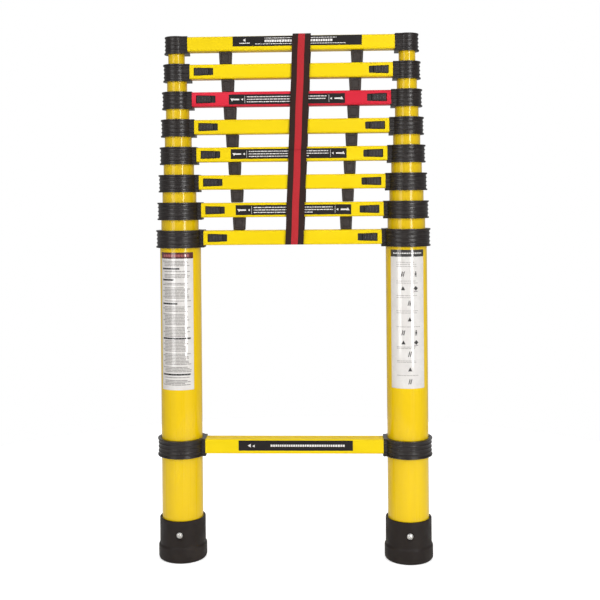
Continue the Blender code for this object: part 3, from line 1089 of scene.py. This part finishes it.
def add_base():
    left = Stile(1, "left")
    clamp, boot, screw = collar(left, drilled=False), foot(left), foot_screw()
    clamp_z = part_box("bottom_rung")[1].z - RUNG_HALF_HEIGHT
    for side in SIDES:
        stile = Stile(1, side)
        piece(
            f"ribbed_clamp_{side}", at_stile(clamp, stile, clamp_z), "base", COLLAR_PLASTIC,
            replaces=[f"bottom_clamp_{side}"], slot="collar_black",
        )
        piece(
            f"rubber_foot_{side}", at_stile(boot, stile, 0), "base", FOOT_RUBBER,
            replaces=[f"foot_{side}"], slot="foot_rubber",
        )
        piece(f"foot_screw_{side}", at_stile(screw, stile, 0), "base", STEEL)
    piece(
        "bottom_rung_extrusion", rung("bottom_rung", 0), "base", YELLOW_PAINT,
        replaces=["bottom_rung"], slot="rung_yellow",
    )
    inks = (WHITE_FILM, RED_INK, GREY_INK, BLACK_INK, WHITE_INK, PINK_INK)
    panels = (
        ("left", text_panel(0.2468, 0.4432), -5.5),
        ("right", sign_panel(0.2487, 0.4450), -1),
    )
    for side, flat, facing in panels:
        stile = Stile(1, side)
        bent = wrapped(flat, stile.radius + 0.00015, math.radians(facing))
        piece(f"printed_panel_{side}", moved(bent, stile.x, 0, 0), "base", *inks, even=False)


def add_plates():
    for section, x0, x1, z0, z1, style in (
        (0, -0.0798, 0.0841, -0.0057, 0.0088, "line"),
        (2, -0.0810, 0.0847, -0.0073, 0.0070, "arrows"),
        (4, -0.0874, 0.0788, -0.0065, 0.0077, "arrows"),
        (6, -0.0895, 0.0772, -0.0080, 0.0063, "arrows"),
        (8, -0.0832, 0.1020, -0.0045, 0.0098, "heading"),
    ):
        body = "base" if section == 0 else f"section_{section}"
        name = f"rung_plate_{section}" if section else "rung_plate_bottom"
        piece(name, plate(section, x0, x1, z0, z1, style), body, BLACK_FILM, WHITE_INK, even=False)


def add_floor():
    bm = bmesh.new()
    bmesh.ops.create_circle(bm, cap_ends=True, segments=96, radius=0.9)
    mesh = as_mesh(bm)
    mesh.materials.append(pale_floor())
    floor = bpy.data.objects.new("floor", mesh)
    bpy.context.scene.collection.objects.link(floor)


def add_softbox(name, location, target, size, watts):
    data = bpy.data.lights.new(name, "AREA")
    data.shape, data.size, data.size_y, data.energy = "RECTANGLE", *size, watts
    light = bpy.data.objects.new(name, data)
    light.location = location
    light.rotation_euler = (Vector(target) - Vector(location)).to_track_quat("-Z", "Y").to_euler()
    bpy.context.scene.collection.objects.link(light)


def add_studio():
    world = bpy.data.worlds.new("studio")
    world.use_nodes = True
    tree = world.node_tree
    tree.nodes.clear()
    kinds = ("ShaderNodeBackground", "ShaderNodeBackground", "ShaderNodeMixShader")
    seen, ambient, choice = (tree.nodes.new(kind) for kind in kinds)
    seen.inputs["Color"].default_value = (1, 1, 1, 1)
    seen.inputs["Strength"].default_value = 1.0
    ambient.inputs["Color"].default_value = (1, 1, 1, 1)
    ambient.inputs["Strength"].default_value = 0.36
    path, output = tree.nodes.new("ShaderNodeLightPath"), tree.nodes.new("ShaderNodeOutputWorld")
    tree.links.new(path.outputs["Is Camera Ray"], choice.inputs[0])
    tree.links.new(ambient.outputs[0], choice.inputs[1])
    tree.links.new(seen.outputs[0], choice.inputs[2])
    tree.links.new(choice.outputs[0], output.inputs["Surface"])
    bpy.context.scene.world = world
    add_softbox("left_strip", (-0.98, -1.26, 0.75), (0, 0, 0.5), (0.60, 1.5), 8)
    add_softbox("right_strip", (0.85, -1.36, 0.75), (0, 0, 0.5), (0.28, 1.5), 16)
    add_softbox("overhead", (0.1, -0.9, 2.6), (0, 0, 0.4), (2.4, 2.0), 12)
    add_softbox("front_fill", (0.0, -3.2, 1.3), (0, 0, 0.4), (2.6, 1.8), 3)
    add_softbox("back_fill", (0.0, 2.6, 2.2), (0, 0, 0.4), (2.6, 1.6), 20)


def add_camera():
    data = bpy.data.cameras.new("camera")
    data.lens, data.sensor_width = 60, 36
    data.shift_y = -0.175
    camera = bpy.data.objects.new("camera", data)
    turn = Matrix.Rotation(math.radians(2.34), 4, "Z") @ Matrix.Rotation(math.radians(89.96), 4, "X")
    turn @= Matrix.Rotation(math.radians(-0.512), 4, "Z")
    camera.matrix_world = Matrix.Translation((0.0701, -1.4463, 0.5247)) @ turn
    bpy.context.scene.collection.objects.link(camera)
    bpy.context.scene.camera = camera
    bpy.context.scene.view_settings.view_transform = "Standard"


add_camera()
add_studio()
add_floor()
for number in range(1, SECTIONS + 1):
    add_section(number)
add_base()
add_plates()
add_strap()
